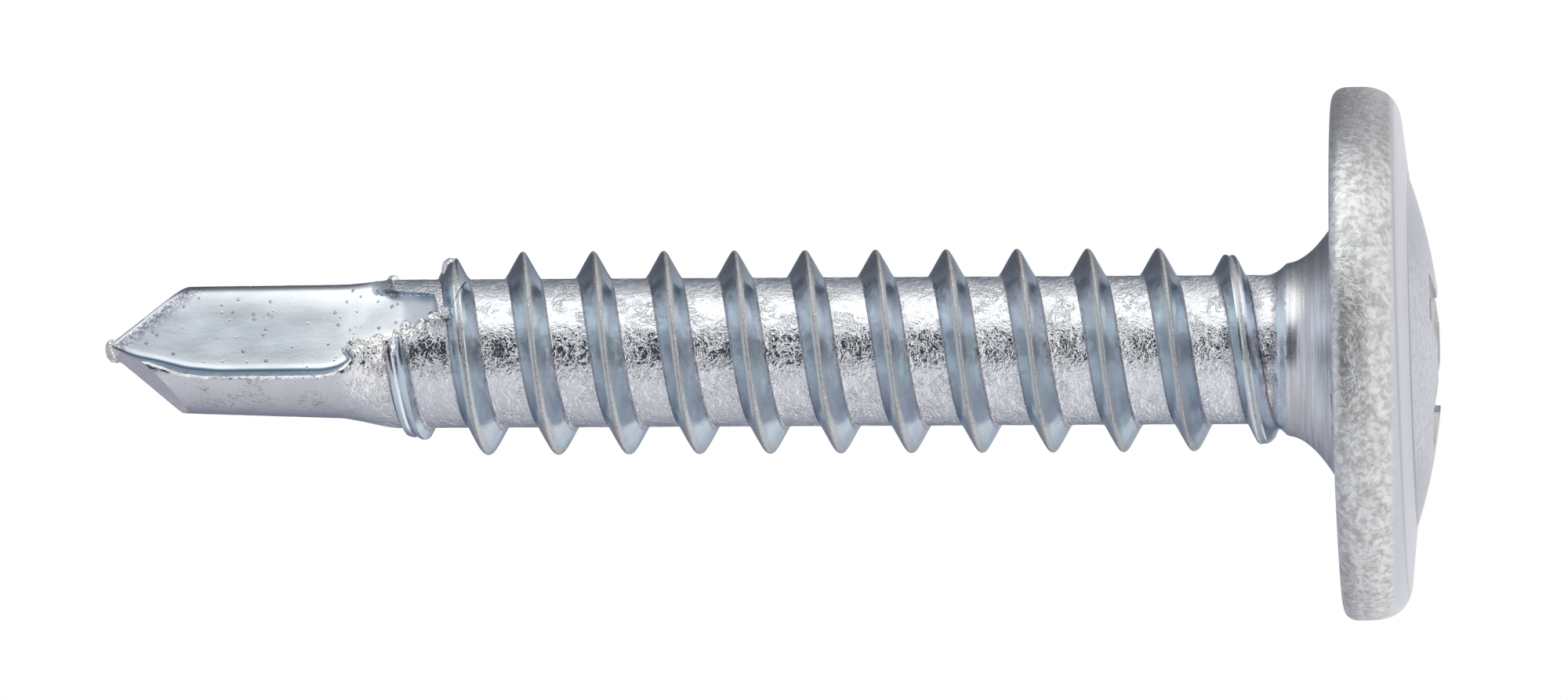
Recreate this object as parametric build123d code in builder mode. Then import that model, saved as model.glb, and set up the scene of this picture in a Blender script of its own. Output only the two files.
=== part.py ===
from build123d import *
import math
import os

os.makedirs("parts", exist_ok=True)

# Self-drilling screw with a wafer head and a cross recess, nominally 4.2 x 25 mm.
# It is one piece: cold-headed, thread-rolled and point-forged from one length of wire.
# Millimetres. The origin is the centre of the bearing face under the head, and +Z runs
# along the axis to the drill tip, so the crown of the head lies below z = 0.

# ---- Driving dimensions ----
length_under_head = 25.0

flange_radius = 5.43
bearing_edge_height = 0.35  # each edge of the rim is one arc that runs on into another
bearing_edge_middle = (5.3275, -0.1025)
bearing_outer_radius = 5.08
crown_edge_height = 0.60
crown_edge_middle = (5.20, -1.18)
shoulder_radius = 4.62
shoulder_height = 1.44
crown_foot_radius = 3.55
crown_foot_height = 1.56
crown_apex_height = 2.19

bearing_inner_radius = 2.65  # where the cone under the head leaves the bearing face
neck_cone_radius = 2.02  # the cone's small end, where the fillet takes over
neck_cone_z = 0.48
neck_ring_radius = 1.77  # the edge that the rolling dies leave
neck_ring_z = 1.0
neck_end_z = 1.42
core_radius = 1.515

thread_pitch = 1.44
thread_turns = 12.9
thread_major_radius = 2.06
thread_base_width = 0.72
thread_crest_width = 0.09
thread_sink = 0.10  # the ridge's root starts this far inside the core
thread_first_z = 0.735  # where the helix crosses +X, under the run-out at the neck
thread_clear = 0.05  # the envelope stands this far off the full thread
thread_full_z = (3.10, 17.10)  # the crest is full between these heights
thread_neck_crest_radius = 1.94  # the low crest beside the neck
thread_neck_crest_z = (1.33, 2.25)
thread_neck_foot_z = 0.90
thread_tip_crest_radius = 1.94  # the last crests, which the drill point's dies press down
thread_tip_crest_z = 18.0
thread_last_crest_radius = 1.76
thread_last_crest_z = 18.6
thread_tip_foot_z = 19.25
thread_foot_slope_z = 0.35  # the envelope's ends fall to the axis over this height

drill_start_z = 18.6
flare_start_z = 19.15
flare_end_z = 20.45
flare_blend = 0.65
flare_ease = 0.02  # how little the oval has changed at each end of the flare
drill_end_z = 26.0  # past the tip, which the point facets cut
drill_long_radius = 1.70
drill_short_radius = 1.31
drill_tip_short_radius = 1.19
drill_long_axis_angle = -110.0  # degrees about Z from +X

facet_slope = 1.25  # fall of a point facet for each millimetre away from the chisel edge
facet_angle = 16.3  # degrees about Z from +X, the way one facet falls

flute_past_tip = (26.0, 0.30, 0.36)  # the flute's corner: height, place across, depth off the axis
flute_lip = (24.2, -0.02, 0.38)
flute_cheek = (23.2, -0.36, 0.40)
flute_foot = (20.45, -0.42, 0.42)
flute_lift = (19.30, 0.36, 0.48)
flute_fade = (18.15, 0.94, 0.62)
flute_end = (17.30, 1.62, 0.95)
flute_wall_lean = 0.14  # how far the cutting wall leans out, for each millimetre of depth
flute_floor_fall = 0.25  # how far the floor falls towards the heel, for each millimetre across
flute_floor_sag = 0.05
flute_corner_round = 0.22
flute_reach = 3.2  # past the widest thread

recess_wing_angle = 35.0  # degrees about Z from +X
recess_wing_width = 1.14
recess_wing_radius = 2.20  # at the crown
recess_core_flat = 1.20  # from the axis to the flat inner corner of each lobe
recess_cone_angle = 26.5  # of the wing ends, from the axis
recess_depth = 2.10
recess_bottom_rise = 0.35
recess_side_taper = 3.0
recess_bar_length = 6.6  # of the crossed bars, before the cone cuts them back


# ---- Body: head, neck and core, one turned profile ----
crown_apex = (0, -crown_apex_height)
crown_foot = (crown_foot_radius, -crown_foot_height)
crown_rise = crown_apex_height - crown_foot_height
crown_radius = (crown_foot_radius**2 + crown_rise**2) / (2 * crown_rise)
shoulder = (shoulder_radius, -shoulder_height)
rim_crown_side = (flange_radius, -crown_edge_height)
rim_bearing_side = (flange_radius, -bearing_edge_height)
bearing_outer = (bearing_outer_radius, 0)
bearing_inner = (bearing_inner_radius, 0)
neck_cone = (neck_cone_radius, neck_cone_z)
neck_ring = (neck_ring_radius, neck_ring_z)
neck_end = (core_radius, neck_end_z)
core_end = (core_radius, drill_start_z)

with BuildPart() as body:
    with BuildSketch(Plane.YZ):
        with BuildLine():
            RadiusArc(crown_apex, crown_foot, -crown_radius)
            Line(crown_foot, shoulder)
            crown_edge = TangentArc(rim_crown_side, crown_edge_middle, tangent=(0, -1))
            TangentArc(crown_edge_middle, shoulder, tangent=crown_edge % 1)
            Line(rim_crown_side, rim_bearing_side)
            bearing_edge = TangentArc(rim_bearing_side, bearing_edge_middle, tangent=(0, 1))
            TangentArc(bearing_edge_middle, bearing_outer, tangent=bearing_edge % 1)
            Polyline(bearing_outer, bearing_inner, neck_cone)
            TangentArc(neck_ring, neck_cone, tangent=(0, -1))
            Polyline(neck_ring, neck_end, core_end, (0, drill_start_z), crown_apex)
        make_face()
    revolve(axis=Axis.Z)


# ---- Drill blank: the pinched oval that the core flares into ----
def oval_plane(z):
    """The plane across the axis at z, with its x along the long way of the oval."""
    turn = math.radians(drill_long_axis_angle)
    return Plane(origin=(0, 0, z), x_dir=(math.cos(turn), math.sin(turn), 0), z_dir=(0, 0, 1))


with BuildPart() as drill_blank:
    with BuildSketch(oval_plane(drill_start_z)):
        Circle(core_radius)
    with BuildSketch(oval_plane(flare_start_z)):
        Ellipse(core_radius + flare_ease, core_radius - flare_ease)
    with BuildSketch(oval_plane(flare_end_z - flare_blend)):
        Ellipse(drill_long_radius - flare_ease, drill_short_radius + flare_ease)
    with BuildSketch(oval_plane(flare_end_z)):
        Ellipse(drill_long_radius, drill_short_radius)
    loft()
    with BuildSketch(oval_plane(flare_end_z)):
        Ellipse(drill_long_radius, drill_short_radius)
    with BuildSketch(oval_plane(drill_end_z)):
        Ellipse(drill_long_radius, drill_tip_short_radius)
    loft(ruled=True)


# ---- Thread: one rolled ridge, cut back by an envelope where it runs out ----
flank_run = (thread_base_width - thread_crest_width) / 2 / (thread_major_radius - core_radius)
root_half_width = thread_base_width / 2 + thread_sink * flank_run
root_radius = core_radius - thread_sink
thread_full_radius = thread_major_radius + thread_clear

with BuildPart() as ridge:
    with BuildLine() as helix:
        Helix(
            thread_pitch,
            thread_pitch * thread_turns,
            core_radius,
            center=(0, 0, thread_first_z),
        )
    with BuildSketch(Plane.XZ):
        with BuildLine():
            Polyline(
                (root_radius, thread_first_z - root_half_width),
                (thread_major_radius, thread_first_z - thread_crest_width / 2),
                (thread_major_radius, thread_first_z + thread_crest_width / 2),
                (root_radius, thread_first_z + root_half_width),
                close=True,
            )
        make_face()
    sweep(path=helix.line, is_frenet=True)

with BuildPart() as thread:
    with BuildSketch(Plane.XZ):
        with BuildLine():
            Polyline(
                (0, thread_neck_foot_z - thread_foot_slope_z),
                (core_radius, thread_neck_foot_z),
                (thread_neck_crest_radius, thread_neck_crest_z[0]),
                (thread_neck_crest_radius, thread_neck_crest_z[1]),
                (thread_full_radius, thread_full_z[0]),
                (thread_full_radius, thread_full_z[1]),
                (thread_tip_crest_radius, thread_tip_crest_z),
                (thread_last_crest_radius, thread_last_crest_z),
                (core_radius, thread_tip_foot_z),
                (0, thread_tip_foot_z + thread_foot_slope_z),
                close=True,
            )
        make_face()
    revolve(axis=Axis.Z)
    add(ridge.part, mode=Mode.INTERSECT)


# ---- Flute: the die's form for one side, with a wall that turns across at the run-out ----
def flute_section(z, corner_x, corner_depth):
    """The flute's cross-section at z, drawn on the side that faces -Y."""
    wall_end_x = corner_x - flute_wall_lean * (flute_reach - corner_depth)
    floor_end_depth = corner_depth - flute_floor_fall * (flute_reach - corner_x)
    corner = (corner_x, -corner_depth)
    wall_end = (wall_end_x, -flute_reach)
    floor_end = (flute_reach, -floor_end_depth)
    floor_middle_x = (corner_x + flute_reach) / 2
    floor_middle_y = flute_floor_sag - (corner_depth + floor_end_depth) / 2
    with BuildSketch(Plane.XY.offset(z)) as section:
        with BuildLine():
            Line(corner, wall_end)
            Polyline(wall_end, (flute_reach, -flute_reach), floor_end)
            ThreePointArc(floor_end, (floor_middle_x, floor_middle_y), corner)
        make_face()
        fillet(section.vertices().group_by(Axis.X)[1].sort_by(Axis.Y)[-1], flute_corner_round)
    return section.sketch


with BuildPart() as flute:
    for stations in (
        (flute_past_tip, flute_lip, flute_cheek, flute_foot),
        (flute_foot, flute_lift, flute_fade, flute_end),
    ):
        loft([flute_section(*station) for station in stations], ruled=True)


# ---- Point: what lies above the two facets that meet in the chisel edge ----
facet_turn = math.radians(facet_angle)
facet_plane = Plane(
    origin=(0, 0, length_under_head),
    x_dir=(math.cos(facet_turn), math.sin(facet_turn), 0),
    z_dir=(math.sin(facet_turn), -math.cos(facet_turn), 0),
)

with BuildPart() as point_waste:
    with BuildSketch(facet_plane):
        with BuildLine():
            Polyline(
                (0, 0),
                (flute_reach, -flute_reach * facet_slope),
                (flute_reach, flute_reach),
                (-flute_reach, flute_reach),
                (-flute_reach, -flute_reach * facet_slope),
                close=True,
            )
        make_face()
    extrude(amount=flute_reach, both=True)


# ---- Cross recess: four tapered wings and the flats between them, in a cone ----
recess_turn = math.radians(recess_wing_angle)
recess_plane = Plane(
    origin=(0, 0, -crown_apex_height),
    x_dir=(math.cos(recess_turn), math.sin(recess_turn), 0),
    z_dir=(0, 0, 1),
)
recess_shrink = recess_depth * math.tan(math.radians(recess_cone_angle))
recess_bottom_radius = recess_wing_radius - recess_shrink
recess_bottom_z = recess_depth - crown_apex_height

with BuildPart() as recess:
    with BuildSketch(recess_plane):
        Rectangle(recess_bar_length, recess_wing_width)
        Rectangle(recess_wing_width, recess_bar_length)
        Rectangle(2 * recess_core_flat, 2 * recess_core_flat, rotation=45)
    extrude(amount=recess_depth + recess_bottom_rise, taper=recess_side_taper)
    with BuildSketch(Plane.XZ):
        with BuildLine():
            Polyline(
                (0, -crown_apex_height),
                (recess_wing_radius, -crown_apex_height),
                (recess_bottom_radius, recess_bottom_z),
                (0, recess_bottom_z + recess_bottom_rise),
                close=True,
            )
        make_face()
    revolve(axis=Axis.Z, mode=Mode.INTERSECT)


# ---- The screw ----
with BuildPart() as screw:
    add(body.part)
    add(thread.part)
    add(drill_blank.part)
    with PolarLocations(0, 2):
        add(flute.part, mode=Mode.SUBTRACT)
    add(point_waste.part, mode=Mode.SUBTRACT)
    add(recess.part, mode=Mode.SUBTRACT)

screw.part.label = "screw"
export_step(screw.part, "parts/screw.step")
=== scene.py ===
import math

import bpy
import numpy as np
from bpy.props import FloatProperty, FloatVectorProperty, IntProperty, PointerProperty
from mathutils import Matrix, Vector, noise


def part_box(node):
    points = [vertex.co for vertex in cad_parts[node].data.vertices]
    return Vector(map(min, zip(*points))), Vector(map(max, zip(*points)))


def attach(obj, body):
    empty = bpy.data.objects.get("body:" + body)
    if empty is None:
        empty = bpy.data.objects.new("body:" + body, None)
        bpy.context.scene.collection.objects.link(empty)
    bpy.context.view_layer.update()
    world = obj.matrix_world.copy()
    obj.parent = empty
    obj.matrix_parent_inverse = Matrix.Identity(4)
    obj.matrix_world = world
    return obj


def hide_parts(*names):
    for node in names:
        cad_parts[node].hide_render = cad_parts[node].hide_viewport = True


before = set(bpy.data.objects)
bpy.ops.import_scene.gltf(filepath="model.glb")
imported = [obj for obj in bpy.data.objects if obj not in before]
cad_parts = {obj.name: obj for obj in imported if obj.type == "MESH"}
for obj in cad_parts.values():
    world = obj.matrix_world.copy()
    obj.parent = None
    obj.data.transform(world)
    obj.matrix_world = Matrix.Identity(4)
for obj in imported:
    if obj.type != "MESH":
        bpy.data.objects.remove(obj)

bl_info = {
    "name": "Self Drilling Screw",
    "version": (1, 0, 0),
    "blender": (4, 5, 0),
    "location": "View3D > Sidebar > Screw",
    "description": "Models and finishes a wafer head self drilling screw round its frame",
    "category": "Add Mesh",
}

MM = 0.001
TURN = 2 * math.pi
MERGE_DISTANCE = 0.001 * MM
CUT_DISTANCE = 0.0001 * MM
SMOOTH_BELOW = math.radians(32)  # edges that bend less than this are shaded smooth
FRAME_LOW, FRAME_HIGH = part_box("screw")
NODE = "screw"
PIECE = "drilling_screw"
SEED_STEP = (7.3, 3.1, 5.7)  # how far apart the noise of two seeds is taken


def length(name, millimetres, description):
    """A property for a length, with its default given in millimetres."""
    default = millimetres * MM
    return FloatProperty(name=name, description=description, default=default, unit="LENGTH", precision=6)


def angle(name, degrees, description):
    """A property for an angle, with its default given in degrees."""
    return FloatProperty(name=name, description=description, default=math.radians(degrees), unit="ROTATION")


def colour(name, red, green, blue, description):
    """A property for a linear colour."""
    return FloatVectorProperty(
        name=name, description=description, default=(red, green, blue), subtype="COLOR", min=0, max=1
    )


def share(name, default, description):
    """A property for a plain number."""
    return FloatProperty(name=name, description=description, default=default)


# ---- What a user would change ----
class ShankSizes(bpy.types.PropertyGroup):
    """The neck, the core and the drill blank."""

    core_radius: length("Core radius", 1.515, "Radius between the thread's turns")
    neck_radius: length("Neck radius", 2.65, "Where the fillet under the head meets the bearing face")
    ring_radius: length("Ring radius", 1.76, "Edge that the rolling dies leave on the neck")
    ring_height: length("Ring height", 1.0, "Height of that edge above the bearing face")
    neck_end: length("Neck end", 1.43, "Height where the core begins")
    neck_curve: share("Neck curve", 1.85, "How fast the fillet flattens towards the ring")
    blank_long: length("Drill long radius", 1.70, "Half the long way across the drill blank")
    blank_short: length("Drill short radius", 1.31, "Half the short way across the drill blank")
    blank_short_tip: length("Drill short radius at tip", 1.19, "Half the short way at the tip")
    blank_angle: angle("Drill angle", -110, "Direction of the drill blank's long way, about Z from +X")
    blank_rise: length("Drill rise", 0.06, "How far the drill sits off the axis, towards +X")
    blank_lean: share("Drill lean", 0.014, "How much further off it sits for each unit of height")
    flare_start: length("Flare start", 19.05, "Height where the core begins to change into the drill blank")
    flare_end: length("Flare end", 20.45, "Height where the drill blank has its full form")


class ThreadSizes(bpy.types.PropertyGroup):
    """The rolled thread."""

    pitch: length("Pitch", 1.44, "Distance between turns")
    major_radius: length("Major radius", 2.09, "Radius at the crest of a full turn")
    base_width: length("Base width", 0.70, "Width of the ridge at the core")
    first_height: length("First height", 0.735, "Height of the helix where it crosses +X")
    crest_round: length("Crest round", 0.05, "How far down the flanks curve away from the crest")
    root_round: length("Root round", 0.05, "How softly the ridge runs into the core")
    columns: IntProperty(name="Columns", description="Divisions round the shank", default=112)
    rows: IntProperty(name="Rows", description="Divisions along each turn", default=32)


class HeadSizes(bpy.types.PropertyGroup):
    """The wafer head."""

    flange_radius: length("Flange radius", FRAME_HIGH.x / MM, "Largest radius of the head")
    crown_depth: length("Depth of crown", 2.145, "Depth of its apex, before the recess is cut")
    bearing_radius: length("Bearing radius", 5.08, "Where the bearing face turns into the rim")
    bearing_edge: length("Bearing edge", 0.37, "Height of the rim's edge on the bearing side")
    crown_edge: length("Rim edge", 0.60, "Depth where the rim begins to turn to the crown side")
    shoulder_radius: length("Shoulder radius", 4.62, "Where the rim ends on the crown side")
    shoulder_depth: length("Shoulder depth", 1.44, "Depth of the shoulder")
    foot_radius: length("Foot radius", 3.55, "Where the crown rises from the shoulder")
    foot_depth: length("Foot depth", 1.56, "Depth of the crown's foot")
    dish: length("Dish", 0.09, "How much higher the bearing face is at the neck than at its edge")
    lean: angle("Lean", 1.12, "How far the head leans towards +X")
    nod: angle("Nod", 1.1, "How far the head leans towards -Y")
    offset: length("Offset", -0.105, "How far the head sits off the shank's axis, along X")
    columns: IntProperty(name="Columns", description="Divisions round the head", default=192)


class RecessSizes(bpy.types.PropertyGroup):
    """The cross recess."""

    wing_angle: angle("Wing angle", 35, "Direction of the first wing, about Z from +X")
    wing_width: length("Wing width", 1.14, "Width of each wing at the crown")
    wing_radius: length("Wing radius", 2.20, "Reach of each wing at the crown")
    core_flat: length("Core flat", 1.20, "From the axis to the flat corner between two wings")
    cone_angle: angle("Cone angle", 26.5, "Slope of the wing ends, from the axis")
    depth: length("Depth", 2.10, "Depth of the wings below the crown")
    bottom_rise: length("Bottom rise", 0.35, "Depth of the cone at the bottom")
    side_taper: angle("Side taper", 3.0, "Slope of the wing sides")


class PointSizes(bpy.types.PropertyGroup):
    """The flutes and facets of the drill point."""

    tip_height: length("Tip height", FRAME_HIGH.z / MM + 0.03, "Height of the chisel edge")
    facet_slope: share("Facet slope", 1.15, "Fall of a facet for each unit away from the chisel edge")
    facet_angle: angle("Facet angle", 16.3, "The way one facet falls, about Z from +X")
    wall_lean: share("Wall lean", 0.11, "How far the cutting wall leans out, for each unit of depth")
    floor_fall: share("Floor fall", 0.33, "How far the floor falls towards the heel, for each unit across")
    corner_round: length("Corner round", 0.12, "Radius between the wall and the floor")
    corner_sweep: length("Corner sweep", 0.07, "How far across the floor still rises to the corner")
    heel_round: length("Heel round", 0.20, "Radius where the floor rolls over at the heel")
    lip_round: length("Lip width", 0.06, "Width of the lip between the wall and the land")
    lip_rag: length("Lip rag", 0.016, "How ragged that lip is")
    facet_round: length("Facet round", 0.13, "Radius where a flute's floor rolls over to a facet")
    reach: length("Reach", 3.2, "How far the cutter goes past the widest thread")


class ZincFinish(bpy.types.PropertyGroup):
    """Colours and grain of the bright zinc plate."""

    core: colour("Core", 0.91, 0.92, 0.94, "Plate between the thread's turns")
    flank: colour("Flank", 0.80, 0.91, 0.96, "Plate on the thread's flanks")
    flank_violet: colour("Flank violet", 0.80, 0.84, 0.92, "Second tint on the flanks")
    crest: colour("Crest", 0.66, 0.65, 0.64, "Worn plate on the thread's crest")
    # The fringe tint also serves as painted shade along the head rim's bend
    fringe: colour("Fringe", 0.55, 0.48, 0.50, "Line where a ridge meets the core")
    stain: colour("Stain", 0.42, 0.36, 0.30, "Brown flecks and nicks")
    milled: colour("Milled", 0.79, 0.83, 0.87, "Plate in the flutes")
    # Painted shade: the wall tint is darker than the milled plate, for the flute's steep inner faces
    wall: colour("Wall", 0.40, 0.50, 0.60, "Plate on the cutting walls")
    # Painted shade: the heel tint is a dark grey for the flute's rolled-over heel
    heel: colour("Heel", 0.42, 0.43, 0.45, "Plate where a flute rolls over at its heel")
    edge: colour("Edge", 0.42, 0.47, 0.54, "Tint of the plate where it is seen edge on")
    land: colour("Land", 0.92, 0.91, 0.95, "Plate on the drill's lands and facets")
    rim: colour("Rim", 0.94, 0.94, 0.93, "Matt plate on the head's rim")
    crown: colour("Smooth plate", 0.72, 0.74, 0.81, "Smooth plate on the crown")
    core_grain: length("Core grain", 0.020, "Height of the grain on the core")
    rim_grain: length("Rim grain", 0.022, "Height of the mottling on the rim")


# ---- Mesh tools ----
def add_primitive(name, kind, **sizes):
    """Adds a primitive of this kind, with nothing else selected, and names it."""
    bpy.ops.object.select_all(action="DESELECT")
    getattr(bpy.ops.mesh, f"primitive_{kind}_add")(**sizes)
    piece = bpy.context.object
    piece.name = name
    return piece


def points_of(piece):
    """The piece's vertices as an array."""
    flat = np.zeros(len(piece.data.vertices) * 3)
    piece.data.vertices.foreach_get("co", flat)
    return flat.reshape(-1, 3)


def place_points(piece, points):
    """Moves the piece's vertices to these places."""
    piece.data.vertices.foreach_set("co", np.asarray(points, float).ravel())
    piece.data.update()


def only(piece):
    """Makes this piece the only one selected, and the active one."""
    bpy.ops.object.select_all(action="DESELECT")
    piece.select_set(True)
    bpy.context.view_layer.objects.active = piece


def in_edit(piece, *steps):
    """Runs the steps in edit mode on the whole piece."""
    only(piece)
    bpy.ops.object.mode_set(mode="EDIT")
    bpy.ops.mesh.select_all(action="SELECT")
    for step in steps:
        step()
    bpy.ops.object.mode_set(mode="OBJECT")


def merge_doubles():
    """A step that merges the vertices that coincide."""
    bpy.ops.mesh.select_all(action="SELECT")
    bpy.ops.mesh.remove_doubles(threshold=MERGE_DISTANCE)


def close_holes():
    """A step that fills the open ends."""
    bpy.ops.mesh.select_all(action="DESELECT")
    bpy.ops.mesh.select_non_manifold()
    bpy.ops.mesh.edge_face_add()


def face_out():
    """A step that turns the normals outwards."""
    bpy.ops.mesh.select_all(action="SELECT")
    bpy.ops.mesh.normals_make_consistent(inside=False)


def cut_off(point, normal):
    """A step that bisects the mesh, clears the side that the normal points to and fills the cut."""

    def step():
        bpy.ops.mesh.select_all(action="SELECT")
        bpy.ops.mesh.bisect(
            plane_co=point, plane_no=normal, clear_outer=True, use_fill=True, threshold=CUT_DISTANCE
        )

    return step


def wrapped_grid(name, columns, rows, place):
    """A grid whose vertices go where place(column, row) says, with what coincides merged."""
    piece = add_primitive(name, "grid", x_subdivisions=columns, y_subdivisions=rows, size=1)
    flat = points_of(piece)
    column = np.rint((flat[:, 0] + 0.5) * columns).astype(int)
    row = np.rint((flat[:, 1] + 0.5) * rows).astype(int)
    place_points(piece, place(column, row))
    in_edit(piece, merge_doubles)
    return piece


def combine(piece, other, operation):
    """Applies a boolean of the two pieces to the first, and deletes the second."""
    only(piece)
    step = piece.modifiers.new("Combine", "BOOLEAN")
    step.operation = operation
    step.solver = "MANIFOLD"
    step.material_mode = "TRANSFER"
    step.object = other
    before = len(piece.data.polygons)
    bpy.ops.object.modifier_apply(modifier=step.name)
    if len(piece.data.polygons) in (0, before):
        raise RuntimeError(f"The boolean of {piece.name} and {other.name} changed nothing or left nothing")
    bpy.data.objects.remove(other)


def smooth_step(value, low, high):
    """0 below low, 1 above high and smooth between them."""
    t = np.clip((value - low) / (high - low), 0, 1)
    return t * t * (3 - 2 * t)


def smooth_min(a, b, softness):
    """The smaller of the two, rounded where they cross."""
    t = np.clip(0.5 + 0.5 * (b - a) / softness, 0, 1)
    return b + (a - b) * t - softness * t * (1 - t)


def bell(distance, width):
    """1 at no distance, and falls off smoothly over the width."""
    return np.exp(-((distance / width) ** 2))


def grain(points, size, seed):
    """Smooth noise about 0 at each point, with lumps of about this size."""
    shift = Vector(seed * np.array(SEED_STEP))
    return np.array([noise.noise(Vector(p) / size + shift) for p in points])


def wave(lane, height, size):
    """Smooth noise about 0 along the height. Each lane has a wave of its own."""
    return noise.noise(Vector((lane, 0, height / size)))


def cylinder_points(radius, turn, height):
    """Points at these radii, turns about Z and heights."""
    return np.stack([radius * np.cos(turn), radius * np.sin(turn), height], axis=1)


# ---- Shank ----
def crest_envelope(height):
    """The radius that the crest reaches at each height, with a run-out at both ends."""
    full = bpy.context.scene.screw_thread.major_radius / MM
    at_neck = ((1.05, 1.45), (1.25, 1.80), (1.42, 1.93), (2.20, 1.93), (3.00, full))
    at_drill = ((17.30, full), (18.00, 1.94), (18.60, 1.76), (19.00, 1.66), (19.40, 1.50))
    heights, radii = np.array(at_neck + at_drill).T * MM
    return np.interp(height, heights, radii)


def neck_radius_at(height, sizes):
    """The fillet under the head, the ring and the short fall to the core."""
    fillet = np.clip(1 - height / sizes.ring_height, 0, None) ** sizes.neck_curve
    above = sizes.ring_radius + (sizes.neck_radius - sizes.ring_radius) * fillet
    fall = np.clip((height - sizes.ring_height) / (sizes.neck_end - sizes.ring_height), 0, 1)
    below = sizes.core_radius + (sizes.ring_radius - sizes.core_radius) * (1 - fall) ** 2
    return np.where(height < sizes.ring_height, above, below)


def blank_radius_at(turn, height, sizes, tip):
    """The pinched oval of the drill blank."""
    along = np.clip((height - sizes.flare_end) / (tip - sizes.flare_end), 0, 1)
    short = sizes.blank_short + (sizes.blank_short_tip - sizes.blank_short) * along
    swing = turn - sizes.blank_angle
    return 1 / np.sqrt((np.cos(swing) / sizes.blank_long) ** 2 + (np.sin(swing) / short) ** 2)


def ridge_height_at(turn, height, shank, thread):
    """How far the thread stands off the core at a place on the shank."""
    least_width = 0.55  # of a ridge that has all but run out
    seam_depth, seam_width = 0.12, 0.05 * MM
    cut_softness = 0.06 * MM
    turns = (height - thread.first_height) / thread.pitch - turn / TURN
    from_crest = np.abs(turns - np.rint(turns)) * thread.pitch
    full = thread.major_radius - shank.core_radius
    foot = math.hypot(thread.base_width / 2, thread.crest_round) - thread.crest_round
    limit = crest_envelope(height) - shank.core_radius
    width = least_width + (1 - least_width) * np.clip(limit / full, 0, 1)
    aside = np.hypot(from_crest / width, thread.crest_round) - thread.crest_round
    ridge = full * (1 - aside / foot)
    seam = seam_depth * (full - limit) * bell(from_crest, seam_width)
    ridge = smooth_min(ridge, limit - seam, cut_softness)
    return -smooth_min(-ridge, 0 * ridge, thread.root_round)


def roll_shank():
    """Winds a grid into a tube whose rows follow the helix, then gives it the neck, thread and blank."""
    shank = bpy.context.scene.screw_shank
    thread = bpy.context.scene.screw_thread
    tip = bpy.context.scene.screw_point.tip_height
    first_turn, last_turn = -2, 16
    wound_end = 19.6 * MM
    spread = 0.185 / MM  # how fast the rows grow further apart above the wound end
    crowding = 0.6  # how much the rows gather at the crests and roots
    lump_height = 0.004 * MM
    trim_below, trim_above = 0.3 * MM, 0.8 * MM

    def place(column, row):
        turns_up = row / thread.rows
        turns_up = turns_up - crowding * np.sin(2 * TURN * (turns_up % 1)) / (2 * TURN)
        turn = TURN * column / thread.columns
        wound = thread.first_height + thread.pitch * (first_turn + turns_up + turn / TURN)
        height = wound + spread * np.clip(wound - wound_end, 0, None) ** 2
        ridge = ridge_height_at(turn, height, shank, thread) * (height < wound_end)
        radius = bare_radius_at(turn, height) + ridge
        points = cylinder_points(radius, turn, height)
        lumps = grain(points, 0.25 * MM, 1) + 0.6 * grain(points, 0.12 * MM, 2)
        points = cylinder_points(radius + lump_height * lumps, turn, height)
        points[:, 0] += blank_shift_at(height)
        return points

    piece = wrapped_grid("shank", thread.columns, thread.rows * (last_turn - first_turn), place)
    below = Vector((0, 0, -trim_below))
    above = Vector((0, 0, tip + trim_above))
    in_edit(piece, cut_off(below, (0, 0, -1)), cut_off(above, (0, 0, 1)), face_out)
    return piece


# ---- Flutes and facets ----
# Where a flute's corner runs, in millimetres: height, place across the axis and depth
FLUTE_STATIONS = (
    (17.60, 1.75, 2.60),
    (17.95, 0.90, 1.90),
    (18.25, 0.68, 1.15),
    (18.70, 0.52, 0.72),
    (19.05, 0.36, 0.58),
    (19.40, 0.29, 0.52),
    (19.80, 0.14, 0.47),
    (20.00, -0.08, 0.45),
    (20.25, -0.28, 0.43),
    (20.60, -0.37, 0.42),
    (22.80, -0.41, 0.40),
    (23.42, -0.36, 0.39),
    (24.03, -0.22, 0.38),
    (24.46, -0.14, 0.37),
    (24.80, 0.0, 0.36),
    (26.50, 0.5, 0.33),
)
STATION_BLUR = 0.12 * MM
FLUTE_ROWS = 200
LIP_POINTS, WALL_POINTS, CORNER_POINTS, FLOOR_POINTS = 7, 10, 8, 46


def flute_corner_at(height):
    """Where the flute's corner runs at one height, across and in depth, with its bends softened."""
    heights, across, depth = np.array(FLUTE_STATIONS).T * MM
    near = height + STATION_BLUR * np.linspace(-1, 1, 5)
    corner_x = np.interp(near, heights, across).mean() + blank_shift_at(height)
    return float(corner_x), float(np.interp(near, heights, depth).mean())


def bare_radius_at(turn, height):
    """The radius of the neck, the core and the drill blank, without the thread."""
    shank = bpy.context.scene.screw_shank
    tip = bpy.context.scene.screw_point.tip_height
    core = np.where(height < shank.neck_end, neck_radius_at(height, shank), shank.core_radius)
    blend = smooth_step(height, shank.flare_start, shank.flare_end)
    return core + (blank_radius_at(turn, height, shank, tip) - core) * blend


def blank_shift_at(height):
    """How far the drill blank sits off the axis, towards +X."""
    shank = bpy.context.scene.screw_shank
    blend = smooth_step(height, shank.flare_start, shank.flare_end)
    return (shank.blank_rise + shank.blank_lean * np.clip(height - shank.flare_end, 0, None)) * blend


def outline_at(height):
    """The outline of the side that faces -Y at one height: places across, from low to high, and depths."""
    turn = np.linspace(-math.pi, 0, 181)
    radius = bare_radius_at(turn, np.full(turn.shape, height))
    return radius * np.cos(turn) + blank_shift_at(height), -radius * np.sin(turn)


def risen(height, low, high):
    """0 below the low height, 1 above the high one and smooth between them, both in millimetres."""
    return float(smooth_step(height, low * MM, high * MM))


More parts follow.
